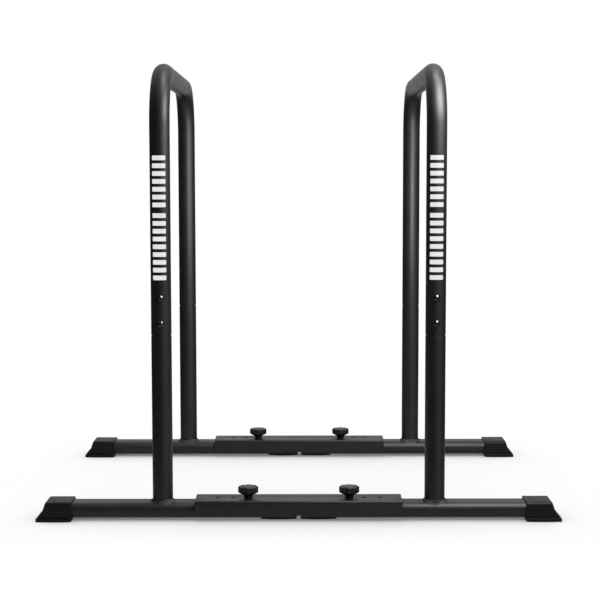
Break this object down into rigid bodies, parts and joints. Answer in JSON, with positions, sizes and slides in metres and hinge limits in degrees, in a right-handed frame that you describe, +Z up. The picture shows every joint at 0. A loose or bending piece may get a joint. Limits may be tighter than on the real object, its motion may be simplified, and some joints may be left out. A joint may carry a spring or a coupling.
{
  "type": "dip station",
  "caption": "Parallel dip bars: inverted-U tube handles on flat-oval base tubes with rubber feet, held side by side by channel connectors whose star knobs set the width.",
  "frame": {"origin": "on the floor, in the middle between the four posts at the narrowest width", "axes": "+X to the user's right across the bars, +Y to the rear along the bars, +Z up"},
  "size_m": [1.033, 0.726, 0.9],
  "materials": {
    "powder_coated_steel": "black satin powder coat with a fine texture",
    "plated_steel": "bright zinc plate",
    "black_steel": "oiled black oxide",
    "moulded_rubber": "moulded matt black",
    "moulded_plastic": "moulded matt black",
    "knob_nylon": "fine-grained moulded nylon",
    "printed_mark": "white screen print on the powder coat"
  },
  "bodies": {
    "root": {"front_connector": "powder_coated_steel", "rear_connector": "powder_coated_steel"},
    "left_frame": {"left_handle": "powder_coated_steel", "left_front_post": "powder_coated_steel", "left_front_spigot": "plated_steel", "left_front_lower_screw": "black_steel", "left_front_lower_nut": "plated_steel", "left_front_upper_screw": "black_steel", "left_front_upper_nut": "plated_steel", "left_front_base_tube": "powder_coated_steel", "left_front_foot_cap": "moulded_rubber", "left_front_end_plug": "moulded_plastic", "left_front_floor_pad": "moulded_rubber", "left_front_threaded_insert": "plated_steel", "left_rear_post": "powder_coated_steel", "left_rear_spigot": "plated_steel", "left_rear_lower_screw": "black_steel", "left_rear_lower_nut": "plated_steel", "left_rear_upper_screw": "black_steel", "left_rear_upper_nut": "plated_steel", "left_rear_base_tube": "powder_coated_steel", "left_rear_foot_cap": "moulded_rubber", "left_rear_end_plug": "moulded_plastic", "left_rear_floor_pad": "moulded_rubber", "left_rear_threaded_insert": "plated_steel"},
    "right_frame": {"right_handle": "powder_coated_steel", "right_front_post": "powder_coated_steel", "right_front_spigot": "plated_steel", "right_front_lower_screw": "black_steel", "right_front_lower_nut": "plated_steel", "right_front_upper_screw": "black_steel", "right_front_upper_nut": "plated_steel", "right_front_base_tube": "powder_coated_steel", "right_front_foot_cap": "moulded_rubber", "right_front_end_plug": "moulded_plastic", "right_front_floor_pad": "moulded_rubber", "right_front_threaded_insert": "plated_steel", "right_rear_post": "powder_coated_steel", "right_rear_spigot": "plated_steel", "right_rear_lower_screw": "black_steel", "right_rear_lower_nut": "plated_steel", "right_rear_upper_screw": "black_steel", "right_rear_upper_nut": "plated_steel", "right_rear_base_tube": "powder_coated_steel", "right_rear_foot_cap": "moulded_rubber", "right_rear_end_plug": "moulded_plastic", "right_rear_floor_pad": "moulded_rubber", "right_rear_threaded_insert": "plated_steel"},
    "left_front_knob_carrier": {"left_front_knob_washer": "black_steel"},
    "left_front_star_knob": {"left_front_knob": "knob_nylon", "left_front_knob_stud": "plated_steel"},
    "left_rear_knob_carrier": {"left_rear_knob_washer": "black_steel"},
    "left_rear_star_knob": {"left_rear_knob": "knob_nylon", "left_rear_knob_stud": "plated_steel"},
    "right_front_knob_carrier": {"right_front_knob_washer": "black_steel"},
    "right_front_star_knob": {"right_front_knob": "knob_nylon", "right_front_knob_stud": "plated_steel"},
    "right_rear_knob_carrier": {"right_rear_knob_washer": "black_steel"},
    "right_rear_star_knob": {"right_rear_knob": "knob_nylon", "right_rear_knob_stud": "plated_steel"}
  },
  "joints": [
    {"name": "left_width_slide", "type": "slide", "parent": "root", "child": "left_frame", "axis": [-1, 0, 0], "range_m": [0, 0.06]},
    {"name": "right_width_slide", "type": "slide", "parent": "root", "child": "right_frame", "axis": [1, 0, 0], "range_m": [0, 0.06]},
    {"name": "left_front_knob_lift", "type": "slide", "parent": "root", "child": "left_front_knob_carrier", "axis": [0, 0, 1], "range_m": [0, 0.015]},
    {"name": "left_front_knob_turn", "type": "hinge", "parent": "left_front_knob_carrier", "child": "left_front_star_knob", "pos_m": [-0.1, -0.325, 0.053], "axis": [0, 0, 1], "range_deg": [0, 4320]},
    {"name": "left_rear_knob_lift", "type": "slide", "parent": "root", "child": "left_rear_knob_carrier", "axis": [0, 0, 1], "range_m": [0, 0.015]},
    {"name": "left_rear_knob_turn", "type": "hinge", "parent": "left_rear_knob_carrier", "child": "left_rear_star_knob", "pos_m": [-0.1, 0.325, 0.053], "axis": [0, 0, 1], "range_deg": [0, 4320]},
    {"name": "right_front_knob_lift", "type": "slide", "parent": "root", "child": "right_front_knob_carrier", "axis": [0, 0, 1], "range_m": [0, 0.015]},
    {"name": "right_front_knob_turn", "type": "hinge", "parent": "right_front_knob_carrier", "child": "right_front_star_knob", "pos_m": [0.1, -0.325, 0.053], "axis": [0, 0, 1], "range_deg": [0, 4320]},
    {"name": "right_rear_knob_lift", "type": "slide", "parent": "root", "child": "right_rear_knob_carrier", "axis": [0, 0, 1], "range_m": [0, 0.015]},
    {"name": "right_rear_knob_turn", "type": "hinge", "parent": "right_rear_knob_carrier", "child": "right_rear_star_knob", "pos_m": [0.1, 0.325, 0.053], "axis": [0, 0, 1], "range_deg": [0, 4320]}
  ],
  "couplings": [
    {"joint": "left_front_knob_lift", "follows": "left_front_knob_turn", "m_per_rad": 0.00019894},
    {"joint": "left_rear_knob_lift", "follows": "left_rear_knob_turn", "m_per_rad": 0.00019894},
    {"joint": "right_front_knob_lift", "follows": "right_front_knob_turn", "m_per_rad": 0.00019894},
    {"joint": "right_rear_knob_lift", "follows": "right_rear_knob_turn", "m_per_rad": 0.00019894}
  ]
}
